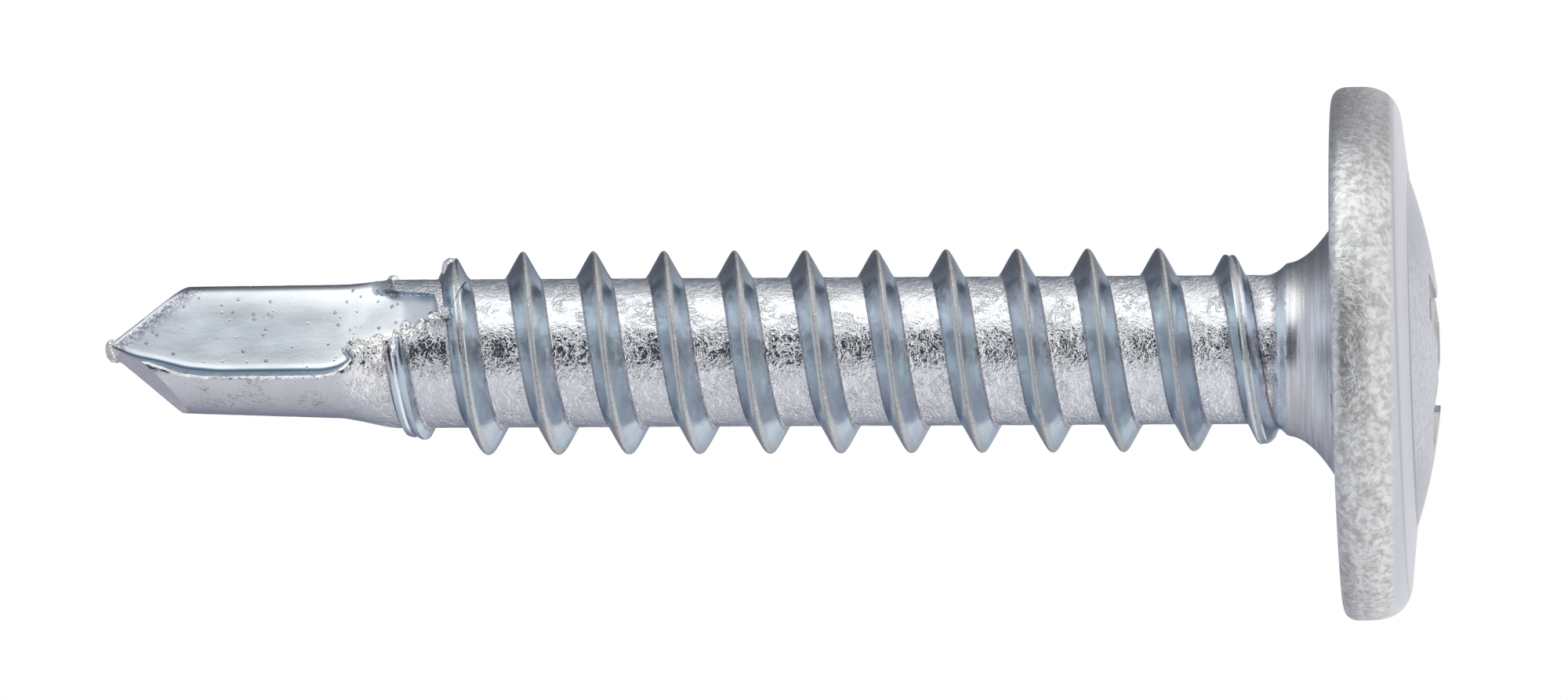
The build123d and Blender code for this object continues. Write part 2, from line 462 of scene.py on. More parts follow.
def flute_profile(height):
    """One cross-section of the flute as a closed loop: outside, lip, wall, corner, floor, heel and beyond."""
    point = bpy.context.scene.screw_point
    across, depth = outline_at(height)
    corner_x, corner_depth = flute_corner_at(height)
    lean = point.wall_lean * risen(height, 19.4, 20.2) * (1 - 0.6 * risen(height, 23.2, 24.2))
    run_out = 1 - risen(height, 19.4, 19.9)
    fading = 1 - risen(height, 18.9, 19.7)

    # The lip's margin wanders along the height, most of all in the run-out
    rag = (wave(0, height, 0.26 * MM) + 0.7 * wave(5, height, 0.09 * MM)) * (1 + 2.5 * run_out)
    surface = float(np.interp(corner_x - 0.1 * MM, across, depth))
    margin = corner_x - lean * (surface - corner_depth) + rag * point.lip_rag
    lip = point.lip_round * (1 + 0.5 * wave(9, height, 0.14 * MM)) * (1 - 0.6 * run_out)
    lip_x = margin - lip
    lip_depth = float(np.interp(lip_x, across, depth)) + 0.004 * MM
    outside = line_points((lip_x - 0.3 * MM, point.reach), (lip_x, lip_depth), count=5)[:-1]

    # The lip bends down to the foot, where the wall starts
    margin_depth = float(np.interp(margin, across, depth))
    foot_depth = max(min(margin_depth, lip_depth) - 0.55 * lip, corner_depth + point.corner_round)
    lip_depth = max(lip_depth, foot_depth + 0.5 * lip)
    foot = (margin + 0.012 * MM, foot_depth)
    bend = (margin - 0.30 * lip, lip_depth - 0.22 * lip)
    lip_bend = curve_points((lip_x, lip_depth), bend, foot, LIP_POINTS)
    wall_end = (corner_x - lean * point.corner_round, corner_depth + point.corner_round)
    wall = line_points(foot, wall_end, WALL_POINTS)[1:]

    # The floor ends in the heel, which rolls over
    top = across.max() + 0.03 * MM
    floor_start = corner_x + point.corner_round
    floor_x = floor_start + (top - floor_start) * np.linspace(0, 1, FLOOR_POINTS) ** 1.25
    floor_depth = floor_depth_at(floor_x, corner_x, corner_depth, fading)
    heel = np.clip((floor_x - top) / point.heel_round + 1, 0, 1) * (1 - fading)
    floor_depth = floor_depth - rolled_over(heel, point.heel_round)
    floor = list(zip(floor_x, floor_depth))
    slope = (floor_depth[1] - floor_depth[0]) / (floor_x[1] - floor_x[0])
    control = (corner_x, floor_depth[0] - slope * (floor_x[0] - corner_x))
    corner = curve_points(wall_end, control, floor[0], CORNER_POINTS)[1:]
    beyond = line_points(floor[-1], (point.reach, floor_depth[-1] - 0.6 * MM), count=4)[1:]
    return outside + lip_bend + wall + corner + floor[1:] + beyond + [(point.reach, point.reach)]


def rolled_over(along, radius):
    """How far a rounding of this radius has fallen, where along goes from 0 at its start to 1 at its end."""
    return radius * (1 - np.sqrt(np.clip(1 - along**2, 0, 1)))


def floor_depth_at(floor_x, corner_x, corner_depth, fading):
    """The floor's depth: a sweep from the corner, an even fall, then a faster fall or the run-out's rise."""
    point = bpy.context.scene.screw_point
    late_from, late_fall = 0.72 * MM, 0.055 * MM
    rise_from, rise_to, rise_height = 1.20 * MM, 1.34 * MM, 1.1 * MM
    gone = floor_x - corner_x
    sweep = 0.35 * point.corner_sweep * np.exp(-gone / point.corner_sweep)
    late = np.clip((floor_x - late_from) / (0.6 * MM), 0, None)
    rise = rise_height * smooth_step(floor_x, rise_from, rise_to) * fading
    return corner_depth - point.floor_fall * gone + sweep - late_fall * late**3 * (1 - fading) + rise


def flute_cutter():
    """The form of one flute, on the side that faces -Y."""
    point = bpy.context.scene.screw_point
    past_tip = 0.7 * MM
    facet_side = 0.1 * MM  # the floor rolls over to the facet beyond this place across
    floor_lumps = 0.005 * MM
    heights = np.linspace(FLUTE_STATIONS[0][0] * MM, point.tip_height + past_tip, FLUTE_ROWS + 1)
    profiles = np.array([flute_profile(height) for height in heights])
    fall = np.array((math.cos(point.facet_angle), math.sin(point.facet_angle)))
    facet_cosine = 1 / math.hypot(1, point.facet_slope)
    tip_shift = float(blank_shift_at(point.tip_height))
    count = profiles.shape[1]

    def place(column, row):
        flat = profiles[row, column % count]
        points = np.stack([flat[:, 0], -flat[:, 1], heights[row]], axis=1)
        points[:, 1] += floor_lumps * grain(points, 0.45 * MM, 4)
        out = (points[:, :2] - (tip_shift, 0)) @ fall
        under = (point.tip_height - points[:, 2] - point.facet_slope * out) * facet_cosine
        near_facet = np.clip(1 - under / point.facet_round, 0, 1) * (points[:, 0] > facet_side)
        points[:, 1] += rolled_over(near_facet, point.facet_round)
        return points

    piece = wrapped_grid("flute", count, FLUTE_ROWS, place)
    in_edit(piece, close_holes, face_out)
    piece.data.materials.append(milled_zinc())
    return piece


def turned_over(piece):
    """A copy of the piece, turned half way round the axis."""
    only(piece)
    bpy.ops.object.duplicate()
    copy = bpy.context.object
    place_points(copy, points_of(copy) * (-1, -1, 1))
    return copy


def drill_point(shank):
    """Cuts the two flutes and the two facets."""
    point = bpy.context.scene.screw_point
    facets_from, facets_up = 22 * MM, 0.35  # a facet lies above this height and faces up by this much
    near = flute_cutter()
    far = turned_over(near)
    combine(shank, near, "DIFFERENCE")
    combine(shank, far, "DIFFERENCE")
    tip = Vector((float(blank_shift_at(point.tip_height)), 0, point.tip_height))
    fall = Vector((math.cos(point.facet_angle), math.sin(point.facet_angle), 0))
    for side in (1, -1):
        normal = (side * point.facet_slope * fall + Vector((0, 0, 1))).normalized()
        in_edit(shank, cut_off(tip, normal))
    in_edit(shank, face_out)
    shank.data.materials.append(ground_zinc())
    ground = len(shank.data.materials) - 1
    for face in shank.data.polygons:
        if face.center.z > facets_from and face.normal.z > facets_up:
            face.material_index = ground


# ---- Burrs ----
# The lumps where a flute runs out, in millimetres: centre and half sizes
RUN_OUT_LUMPS = (
    ((0.02, -1.38, 19.88), (0.28, 0.28, 0.24)),
    ((0.06, -1.42, 19.54), (0.28, 0.26, 0.24)),
    ((-0.16, -1.46, 19.66), (0.16, 0.13, 0.20)),
    ((0.11, -1.42, 19.06), (0.31, 0.20, 0.13)),
    ((0.40, -1.34, 18.80), (0.22, 0.26, 0.20)),
    ((0.50, -1.34, 18.52), (0.20, 0.24, 0.18)),
    ((0.70, -1.26, 18.24), (0.14, 0.24, 0.18)),
    ((0.84, -1.42, 18.04), (0.11, 0.22, 0.12)),
)
FAR_LUMP_RISE = 0.06


def raise_burr(name, centre, half_sizes, turn, crumple, seed):
    """A crumpled lump of metal, turned about Z."""
    burr = add_primitive(name, "ico_sphere", subdivisions=4, radius=1)
    points = points_of(burr)
    swell = 1 + crumple * grain(points, 0.9, seed) + 0.5 * crumple * np.abs(grain(points, 0.35, seed + 1))
    points = points * swell[:, None] * np.array(half_sizes) * MM
    swing = Matrix.Rotation(turn, 3, "Z")
    place_points(burr, points @ np.array(swing.transposed()) + np.array(centre) * MM)
    burr.data.materials.append(bpy.data.materials["zinc_burr"])
    return burr


def raise_burrs(shank):
    """The metal that the point forging pushed up where the flutes run out, and the nub on the chisel edge."""
    point = bpy.context.scene.screw_point
    burr_zinc()
    for seed, (centre, half_sizes) in enumerate(RUN_OUT_LUMPS, 1):
        far_centre = (-centre[0], -centre[1], centre[2] + FAR_LUMP_RISE)
        for place, side_seed in ((centre, seed), (far_centre, seed + 10)):
            combine(shank, raise_burr("burr", place, half_sizes, 0, 0.6, side_seed), "UNION")
    shift = float(blank_shift_at(point.tip_height)) / MM
    singles = (
        ("nub", (shift - 0.03, 0, 24.99), (0.19, 0.52, 0.14), point.facet_angle, 0.22),
        ("burr", (1.49, 0.05, 19.23), (0.12, 0.16, 0.12), 0, 0.12),
        ("burr", (1.70, -0.20, 18.02), (0.25, 0.45, 0.20), 0, 0.12),
    )
    for seed, single in enumerate(singles, 21):
        combine(shank, raise_burr(*single, seed), "UNION")


# ---- Head ----
def arc_points(centre, radius, start, end, count):
    """Points on an arc in the profile's plane, from one angle to another, in degrees."""
    angles = np.radians(np.linspace(start, end, count))
    return [(centre[0] + radius * math.cos(a), centre[1] + radius * math.sin(a)) for a in angles]


def head_profile():
    """The head's outline from the axis under the crown to the axis inside the neck, as (radius, height)."""
    head = bpy.context.scene.screw_head
    face_low = -0.02 * MM
    shoulder_lift = 0.04 * MM
    inside_neck = 1.2 * MM
    rise = head.crown_depth - head.foot_depth
    crown_radius = (head.foot_radius**2 + rise**2) / (2 * rise)
    sweep = math.degrees(math.asin(head.foot_radius / crown_radius))
    crown_centre = (0, crown_radius - head.crown_depth)
    crown = arc_points(crown_centre, crown_radius, -90, -90 + sweep, count=26)
    shoulder = (head.shoulder_radius, -head.shoulder_depth)
    foot_band = line_points(crown[-1], shoulder, count=8)[1:-1]
    rim_low = (head.flange_radius, -head.crown_edge)
    low_control = (head.flange_radius, shoulder_lift - head.shoulder_depth)
    crown_side = curve_points(shoulder, low_control, rim_low, count=14)
    rim_high = (head.flange_radius, -head.bearing_edge)
    rim = line_points(rim_low, rim_high, count=4)[1:-1]
    bearing = (head.bearing_radius, face_low)
    bearing_side = curve_points(rim_high, (head.flange_radius, face_low), bearing, count=10)
    face = line_points(bearing, (inside_neck, head.dish), count=14)[1:]
    return crown + foot_band + crown_side + rim + bearing_side + face + [(0, head.dish)]


def line_points(start, end, count):
    """Points on a straight line, both ends included."""
    start, end = np.array(start), np.array(end)
    return [tuple(start + (end - start) * t) for t in np.linspace(0, 1, count)]


def curve_points(start, control, end, count):
    """Points on a curve that leaves start and reaches end in line with the control."""
    start, control, end = (np.array(p) for p in (start, control, end))
    shares = np.linspace(0, 1, count)
    return [tuple((1 - t) ** 2 * start + 2 * t * (1 - t) * control + t * t * end) for t in shares]


def upset_head():
    """Spins the profile into the head."""
    head = bpy.context.scene.screw_head
    profile = head_profile()
    last = len(profile) - 1
    piece = add_primitive("head", "grid", x_subdivisions=1, y_subdivisions=last, size=1)
    rows = np.rint((points_of(piece)[:, 1] + 0.5) * last).astype(int)
    place_points(piece, [(profile[row][0], 0, profile[row][1]) for row in rows])

    def spin():
        bpy.ops.mesh.spin(steps=head.columns, angle=TURN, center=(0, 0, 0), axis=(0, 0, 1))

    in_edit(piece, merge_doubles, spin, merge_doubles, face_out)
    return piece


def punch_bar(sizes, keep, swing, low, high):
    """A bar of the punch, which keeps these shares of its two widths at the top, swung about Z."""
    bar = add_primitive("bar", "cube", size=1)
    points = points_of(bar)
    upper = points[:, 2] > 0
    x = points[:, 0] * sizes[0] * np.where(upper, keep[0], 1)
    y = points[:, 1] * sizes[1] * np.where(upper, keep[1], 1)
    cosine, sine = math.cos(swing), math.sin(swing)
    height = np.where(upper, high, low)
    place_points(bar, np.stack([x * cosine - y * sine, x * sine + y * cosine, height], axis=1))
    return bar


def recess_cutter():
    """The cross punch: two crossed wings and a square between them, inside a cone."""
    recess = bpy.context.scene.screw_recess
    mouth = -bpy.context.scene.screw_head.crown_depth
    bar_excess, cone_excess = 0.4 * MM, 0.3 * MM
    bar_length, flat_width = 6 * recess.wing_radius, 2 * recess.core_flat
    wing_keep = 1 - recess.depth * math.tan(recess.side_taper) * 2 / recess.wing_width
    flat_keep = 0.9
    swing = recess.wing_angle
    ends = (mouth - bar_excess, mouth + recess.depth + bar_excess)
    punch = punch_bar((bar_length, recess.wing_width), (1, wing_keep), swing, *ends)
    wing = punch_bar((recess.wing_width, bar_length), (wing_keep, 1), swing, *ends)
    flats = punch_bar((flat_width, flat_width), (flat_keep, flat_keep), swing + math.radians(45), *ends)
    combine(punch, wing, "UNION")
    combine(punch, flats, "UNION")

    cone_length = recess.depth + cone_excess
    cone_sizes = {
        "vertices": 96,
        "radius1": recess.wing_radius + cone_excess * math.tan(recess.cone_angle),
        "radius2": recess.wing_radius - recess.depth * math.tan(recess.cone_angle),
        "depth": cone_length,
    }
    cone = add_primitive("cone", "cone", **cone_sizes)
    place_points(cone, points_of(cone) + (0, 0, mouth - cone_excess + cone_length / 2))
    combine(punch, cone, "INTERSECT")
    return punch


def lean_head(head_piece):
    """Leans and shifts the head a little off the shank, as it was struck."""
    head = bpy.context.scene.screw_head
    lean = Matrix.Rotation(-head.lean, 4, "Y") @ Matrix.Rotation(-head.nod, 4, "X")
    head_piece.data.transform(Matrix.Translation((head.offset, 0, 0)) @ lean)


# ---- Tints of painted shade, streaks and specks ----
PALE_STREAK = (0.96, 0.95, 0.98)
PALE_SPECK = (0.95, 0.94, 0.90)
PALE_RUN_OUT = (0.95, 0.97, 0.98)
PALE_BURR = (0.97, 0.97, 0.96)
PALE_LIP = (0.76, 0.77, 0.78)
NECK_SHADE = (0.26, 0.26, 0.28)
RIDGE_SHADE = (0.26, 0.25, 0.27)
FACET_SHADE = (0.24, 0.23, 0.30)
RIM_SHADE = (0.30, 0.30, 0.32)
FOOT_SHADE = (0.30, 0.29, 0.34)
TOP_MOTTLE = (0.45, 0.46, 0.52)
TOP_SHADE = (0.36, 0.38, 0.45)
FACET_EDGE = (0.85, 0.85, 0.90)


# ---- Shader maths ----
class Wire:
    """One output in a node tree. Arithmetic on it adds Math nodes, and node() adds any other node."""

    def __init__(self, tree, socket=None):
        self.tree = tree
        self.socket = socket

    def node(self, kind, settings=None, inputs=None, output=0):
        """Adds a node, applies its settings, then sets or links its sockets, and returns one output.

        The kind is the node's type without ShaderNode in front.
        """
        node = self.tree.nodes.new("ShaderNode" + kind)
        for name, value in (settings or {}).items():
            if name == "stops":
                set_stops(node.color_ramp.elements, value)
            else:
                setattr(node, name, value)
        for name, value in (inputs or {}).items():
            if isinstance(value, Wire):
                self.tree.links.new(value.socket, node.inputs[name])
            else:
                node.inputs[name].default_value = value
        return Wire(self.tree, node.outputs[output]) if node.outputs else None

    def math(self, operation, first, second=0.0):
        return self.node("Math", {"operation": operation}, {0: first, 1: second})

    def __add__(self, other):
        return self.math("ADD", self, other)

    __radd__ = __add__

    def __sub__(self, other):
        return self.math("SUBTRACT", self, other)

    def __rsub__(self, other):
        return self.math("SUBTRACT", other, self)

    def __mul__(self, other):
        return self.math("MULTIPLY", self, other)

    __rmul__ = __mul__

    def __truediv__(self, other):
        return self.math("DIVIDE", self, other)

    def __abs__(self):
        return self.math("ABSOLUTE", self)

    def step(self, low, high):
        """0 below low, 1 above high and smooth between them, or the other way round where low is higher."""
        settings = {"interpolation_type": "SMOOTHSTEP"}
        if low < high:
            return self.node("MapRange", settings, {"Value": self, "From Min": low, "From Max": high})
        return 1 - self.node("MapRange", settings, {"Value": self, "From Min": high, "From Max": low})

    def band(self, start, full, fading, end):
        """1 from full to fading, and 0 before start and past end."""
        return self.step(start, full) * self.step(end, fading)

    def mix(self, one, other):
        """The first colour where this is 0 and the other where it is 1."""
        one, other = (tint if isinstance(tint, Wire) else (*tint, 1) for tint in (one, other))
        return self.node("Mix", {"data_type": "RGBA"}, {0: self, 6: one, 7: other}, 2)

    def noise(self, size, detail=2.0, roughness=0.5, distortion=0.0):
        """Smooth noise from 0 to 1 with lumps of about this size, on this vector."""
        inputs = {
            "Vector": self,
            "Scale": 1 / size,
            "Detail": detail,
            "Roughness": roughness,
            "Distortion": distortion,
        }
        return self.node("TexNoise", None, inputs)

    def scaled(self, x, y, z):
        """This vector with its parts multiplied."""
        return self.node("VectorMath", {"operation": "MULTIPLY"}, {0: self, 1: (x, y, z)})


def set_stops(elements, stops):
    """Gives a colour ramp these stops, as (position, colour) from left to right."""
    elements[0].position, elements[1].position = stops[0][0], stops[-1][0]
    elements[0].color, elements[1].color = (*stops[0][1], 1), (*stops[-1][1], 1)
    for position, tint in stops[1:-1]:
        elements.new(position).color = (*tint, 1)


def new_material(name):
    """An empty node material and its first wire."""
    material = bpy.data.materials.new(name)
    material.use_nodes = True
    material.node_tree.nodes.clear()
    return material, Wire(material.node_tree)


def finish_material(wire, tint, roughness, height, edge=(1, 1, 1)):
    """Joins a metal with this bump, given in millimetres, to the output."""
    bump = wire.node("Bump", None, {"Height": height * MM, "Distance": 1.0, "Strength": 1.0})
    inputs = {
        "Base Color": tint,
        "Roughness": roughness,
        "Metallic": 1.0,
        "Specular Tint": (*edge, 1),
        "Normal": bump,
    }
    shader = wire.node("BsdfPrincipled", None, inputs)
    wire.node("OutputMaterial", None, {"Surface": shader})


def object_place(wire):
    """The place on the piece: the whole vector, then x, y and z in millimetres and the radius from Z."""
    place = wire.node("TexCoord", output="Object")
    x, y, z = (wire.node("SeparateXYZ", None, {"Vector": place}, axis) / MM for axis in range(3))
    return place, x, y, z, wire.math("SQRT", x * x + y * y)


def layered(tint, *layers):
    """The colour with the layers' colours over it, each where its mask is 1."""
    for mask, over in layers:
        tint = mask.mix(tint, over)
    return tint


def dimmed(tint, share_left):
    """The colour, darkened to this share of itself."""
    return tuple(share_left * part for part in tint)


def rolled_zinc():
    """Bright zinc over the rolled shank: grainy core, smooth blue flanks and worn pale crests."""
    zinc = bpy.context.scene.screw_zinc
    thread = bpy.context.scene.screw_thread
    material, wire = new_material("zinc_rolled")
    place, x, y, z, radius = object_place(wire)
    pitch = thread.pitch / MM
    turns = (z - thread.first_height / MM) / pitch - wire.math("ARCTAN2", y, x) / TURN
    from_crest = abs(wire.math("FRACT", turns + 0.5) - 0.5) * pitch

    # Noise, from fine to coarse
    fine = place.noise(0.035 * MM, roughness=0.6)
    speck = place.noise(0.06 * MM, detail=1.0)
    wear = place.noise(0.06 * MM, roughness=0.6)
    streak = place.scaled(0.03, 0.03, 1).noise(0.07 * MM, roughness=0.6)
    wander = (place.noise(0.12 * MM, roughness=0.6) - 0.5) * 0.06
    grit = place.noise(0.14 * MM, 3.0, 0.55, distortion=0.6)
    fleck = place.noise(0.14 * MM).step(0.66, 0.72)
    fold = abs(place.noise(0.16 * MM, roughness=0.6, distortion=1.0) - 0.5).step(0.10, 0.0)
    swell = place.noise(0.4 * MM, detail=1.0)
    folded = place.noise(0.5 * MM, detail=1.0).step(0.46, 0.62)
    patch = place.noise(0.9 * MM)

    # Parts of the shank, by their heights and radii in millimetres, and painted shade on the side towards +X
    neck = z.step(1.25, 0.95)
    drill = z.step(19.4, 20.3)
    threaded = z.band(0.9, 1.2, 19.2, 19.6)
    ridge = (radius + wander).step(1.55, 1.60) * threaded
    fringe = (radius + wander).band(1.52, 1.55, 1.57, 1.62) * threaded
    peak = radius.step(1.86, 2.04) * threaded
    crest = (from_crest + wander).step(0.042, 0.020) * threaded * radius.step(1.62, 1.75)
    core = (1 - ridge) * (1 - drill)
    # Painted shade: the neck is darkened on its side towards +X
    neck_shade = (x + 1.6 * (fine - 0.5)).step(0.7, 1.9) * neck
    # Painted shade: the thread's ridges are darkened on their side towards +X
    ridge_shade = x.step(1.05, 1.75) * ridge

    land, land_height = worn_land(place, zinc.land)
    tint = layered(
        drill.mix(zinc.core, land),
        (neck * 0.35, zinc.stain),
        (neck * streak.step(0.36, 0.64), PALE_STREAK),
        # painted shade on the neck's +X side
        (neck_shade * 0.6, NECK_SHADE),
        (patch.step(0.5, 0.75) * 0.3, dimmed(zinc.core, 0.86)),
        (ridge, patch.step(0.4, 0.62).mix(zinc.flank, zinc.flank_violet)),
        (fringe * 0.65, zinc.fringe),
        (peak * (0.15 + 0.4 * fine), zinc.stain),
        # painted shade on the ridges' +X side
        (ridge_shade * 0.75, RIDGE_SHADE),
        (crest * 0.9, zinc.crest),
        (crest * wear.step(0.48, 0.62) * 0.7, zinc.stain),
        (speck.step(0.66, 0.72) * (crest + 0.5 * ridge), PALE_SPECK),
        (fleck * (0.15 + 0.6 * crest) * (1 - 0.8 * ridge * (1 - crest)), zinc.stain),
        (fold * folded * core * z.step(1.0, 1.4) * 0.12, zinc.stain),
    )

    core_height = grit * (zinc.core_grain / MM) + fine * 0.0008 - fold * (0.2 + 0.8 * folded) * 0.013
    height = core_height * core * (1 - neck)
    height = height + neck * (streak * 0.010 + fine * 0.003)
    height = height + (fine * 0.003 + swell * 0.02) * ridge + crest * fine * 0.01
    height = height + land_height * drill
    rough = 0.06 + 0.20 * neck + 0.04 * fine * core + 0.12 * ridge + 0.20 * crest + 0.12 * drill + 0.10 * peak
    finish_material(wire, tint, rough, height, edge=zinc.edge)
    return material


def milled_zinc():
    """Smooth zinc in a flute, with painted shade in dark blue on the wall and dark grey on the rolled heel,
    and a few tiny blisters.
    """
    zinc = bpy.context.scene.screw_zinc
    material, wire = new_material("zinc_milled")
    place, x, y, z, radius = object_place(wire)
    facing = wire.node("TexCoord", output="Normal")
    sideways, toward = (wire.node("SeparateXYZ", None, {"Vector": facing}, axis) for axis in (0, 1))
    near = wire.math("SIGN", 0 - toward)
    under = facet_distance(x, y, z, near)

    # Noise, from fine to coarse
    fine = place.noise(0.05 * MM)
    speck = place.noise(0.06 * MM, roughness=0.6)
    fleck = place.noise(0.12 * MM).step(0.70, 0.76)
    rag = place.noise(0.15 * MM, 3.0, 0.6)
    cells = wire.node("TexVoronoi", None, {"Vector": place, "Scale": 1 / (0.24 * MM), "Randomness": 1.0})
    blister = cells.step(0.18, 0.06) * place.noise(0.9 * MM, detail=1.0).step(0.42, 0.50)
    drawn = place.scaled(1, 1, 0.35)
    brushed = drawn.noise(0.09 * MM)
    cloud = drawn.noise(0.55 * MM, 3.0, 0.55)

    # Parts of the flute, by how it faces and by places in millimetres
    steep = abs(sideways).step(0.62, 0.90) * z.step(19.4, 20.0)
    inner = (x * near).step(0.95, 0.75)
    lip = radius.step(1.12, 1.24) * (x * near).step(-0.22, -0.32)
    facet_shade = under.band(0.10, 0.16, 0.22, 0.70) * speck.step(0.38, 0.58)

    tint = layered(
        cloud.step(0.38, 0.68).mix(zinc.milled, dimmed(zinc.milled, 0.84)),
        (z.step(21.6, 20.2) * 0.8, PALE_RUN_OUT),
        # painted shade on the cutting wall
        (steep * inner, zinc.wall),
        # painted shade on the rolled heel
        (steep * (1 - inner), zinc.heel),
        (fleck * 0.4, zinc.stain),
        (facet_shade * 0.85, FACET_SHADE),
        (under.step(0.09, 0.03) * 0.7, zinc.fringe),
        (lip * rag.step(0.60, 0.40), PALE_LIP),
        (lip * rag.step(0.54, 0.64) * 0.7, zinc.stain),
    )
    height = blister * 0.026 + fine * 0.001 + cloud * 0.005 + brushed * 0.0008 + lip * rag * 0.03
    finish_material(wire, tint, 0.24 + 0.05 * fine, height, edge=zinc.edge)
    return material


def facet_distance(x, y, z, near):
    """How far a place on the drill lies under the facet beside it, in millimetres along the axis."""
    point = bpy.context.scene.screw_point
    tip_shift = float(blank_shift_at(point.tip_height)) / MM
    out = (x * math.cos(point.facet_angle) + y * math.sin(point.facet_angle)) * near
    return point.tip_height / MM - z - point.facet_slope * (out - tip_shift)


def burr_zinc():
    """Bright crumpled zinc on the burrs."""
    zinc = bpy.context.scene.screw_zinc
    _, wire = new_material("zinc_burr")
    place = wire.node("TexCoord", output="Object")
    fold = abs(place.noise(0.20 * MM, detail=1.0, distortion=1.0) - 0.5)
    fine = place.noise(0.05 * MM, roughness=0.6)
    tint = (fold.step(0.02, 0.0) * 0.7).mix(PALE_BURR, zinc.stain)
    finish_material(wire, tint, 0.08 + 0.06 * fine, fold * 0.10 + fine * 0.002)


def ground_zinc():
    """Lavender zinc on the facets, with creases, specks and a brown mottle."""
    zinc = bpy.context.scene.screw_zinc
    material, wire = new_material("zinc_ground")
    place = wire.node("TexCoord", output="Object")
    mottle = place.noise(0.16 * MM, 3.0, 0.6)
    tint, height = worn_land(place, zinc.land)
    tint = (mottle.step(0.42, 0.66) * 0.45).mix(tint, zinc.fringe)
    roughness = 0.30 + 0.1 * place.noise(0.05 * MM)
    finish_material(wire, tint, roughness, height + mottle * 0.02, edge=FACET_EDGE)
    return material


DENT = (-1.02 * MM, -1.27 * MM, 22.0 * MM)  # a pit on the near land


def worn_land(place, plain):
    """The colour and the height of a forged face: creases that come and go, brown stains and specks."""
    zinc = bpy.context.scene.screw_zinc
    fine = place.noise(0.05 * MM, roughness=0.6)
    fleck = place.noise(0.07 * MM, roughness=0.6).step(0.66, 0.74)
    stain = place.noise(0.35 * MM, 3.0, 0.65).step(0.56, 0.72)
    bent = place.noise(0.45 * MM, 3.0, 0.6, distortion=1.5)
    cloud = place.noise(0.6 * MM, 3.0, 0.6)
    crease = abs(bent - 0.5).step(0.012, 0.0) * place.noise(0.8 * MM, detail=1.0).step(0.50, 0.60)
    from_dent = place.node("VectorMath", {"operation": "DISTANCE"}, {0: place, 1: DENT}, 1)
    dented = (from_dent + fleck * 0.02 * MM).step(0.075 * MM, 0.035 * MM)
    tint = layered(
        cloud.mix(plain, dimmed(plain, 0.84)),
        (stain * 0.30, zinc.fringe),
        (fleck * 0.45, zinc.stain),
        (crease * 0.8, zinc.stain),
        (dented * 0.75, zinc.stain),
    )
    return tint, cloud * 0.020 - dented * 0.03 - crease * 0.012 + fine * 0.005


def head_zinc():
    """Matt mottled zinc on the rim, and smooth zinc on the crown and the band beside it, with painted shade
    on the rim's +X side, along the rim's bend, at the crown's foot and towards the crown's sides.
    """
    zinc = bpy.context.scene.screw_zinc
    material, wire = new_material("zinc_head")
    place, x, _, z, radius = object_place(wire)
    fine = place.noise(0.06 * MM, 3.0, 0.6)
    mottle = place.noise(0.14 * MM, 3.0, 0.6, distortion=0.4)
    blotch = place.noise(0.34 * MM, 4.0, 0.65, distortion=0.3)

    # Parts of the head, by their heights and radii in millimetres, and bands of painted shade
    matt = radius.step(4.75, 5.15) * z.step(-1.22, -1.05)
    crown_side = z.step(-0.9, -1.1)
    # Painted shade: a dark line where the rim bends to the crown side
    seam = radius.band(4.98, 5.04, 5.08, 5.14) * crown_side
    # Painted shade: a dark ring in the crease at the crown's foot
    foot = radius.band(3.48, 3.54, 3.60, 3.66) * crown_side
    crown = radius.step(3.7, 3.4) * crown_side
    # Painted shade: the rim is darkened on its side towards +X
    high = (x + 1.2 * (mottle - 0.5)).step(2.9, 4.6) * matt
    # Painted shade: the crown is darkened towards its sides at +X and -X
    aside = (abs(x + 0.3) + 1.2 * (mottle - 0.5)).step(1.1, 2.8) * crown

    tint = layered(
        matt.mix(zinc.crown, zinc.rim),
        (mottle.step(0.38, 0.66) * (0.1 + 0.7 * matt), dimmed(zinc.rim, 0.60)),
        (blotch.step(0.46, 0.74) * 0.50 * matt, zinc.stain),
        # painted shade on the rim's +X side
        (high * (0.20 + 0.9 * fine), RIM_SHADE),
        # painted shade along the rim's bend
        (seam * 0.6, zinc.fringe),
        # painted shade in the crease at the crown's foot
        (foot * (0.6 + 0.4 * fine), FOOT_SHADE),
        (crown * mottle.step(0.42, 0.66) * 0.45, TOP_MOTTLE),
        # painted shade towards the crown's sides
        (aside * 0.5, TOP_SHADE),
    )
    height = (mottle * (zinc.rim_grain / MM) + fine * 0.004) * (0.2 + 0.8 * matt)
    rough = 0.20 + (0.08 + 0.16 * mottle) * matt + 0.04 * fine
    finish_material(wire, tint, rough, height)
    return material


# ---- Operators ----
class SCREW_OT_model(bpy.types.Operator):
    """Models the screw and puts its zinc finish on"""

    bl_idname = "screw.model"
    bl_label = "Model Screw"

    def execute(self, context):
        rolled = rolled_zinc()
        shank = roll_shank()
        shank.data.materials.append(rolled)
        drill_point(shank)
        raise_burrs(shank)
        head = upset_head()
        head.data.materials.append(head_zinc())
        combine(head, recess_cutter(), "DIFFERENCE")
        lean_head(head)
        combine(shank, head, "UNION")
        shank.name = shank.data.name = PIECE
        only(shank)
        bpy.ops.object.shade_smooth_by_angle(angle=SMOOTH_BELOW)
        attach(shank, "root")
        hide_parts(NODE)
        return {"FINISHED"}


class SCREW_OT_stage(bpy.types.Operator):
    """Sets the floor, the light tent and the camera round the screw"""

    bl_idname = "screw.stage"
    bl_label = "Set Stage"

    def execute(self, context):
        lay_floor()
        pitch_tent()
        aim_camera()
        white_world()
        return {"FINISHED"}


SEEN_RAYS = ("Is Camera Ray", "Is Glossy Ray", "Is Transmission Ray")
SENSOR_WIDTH = 36
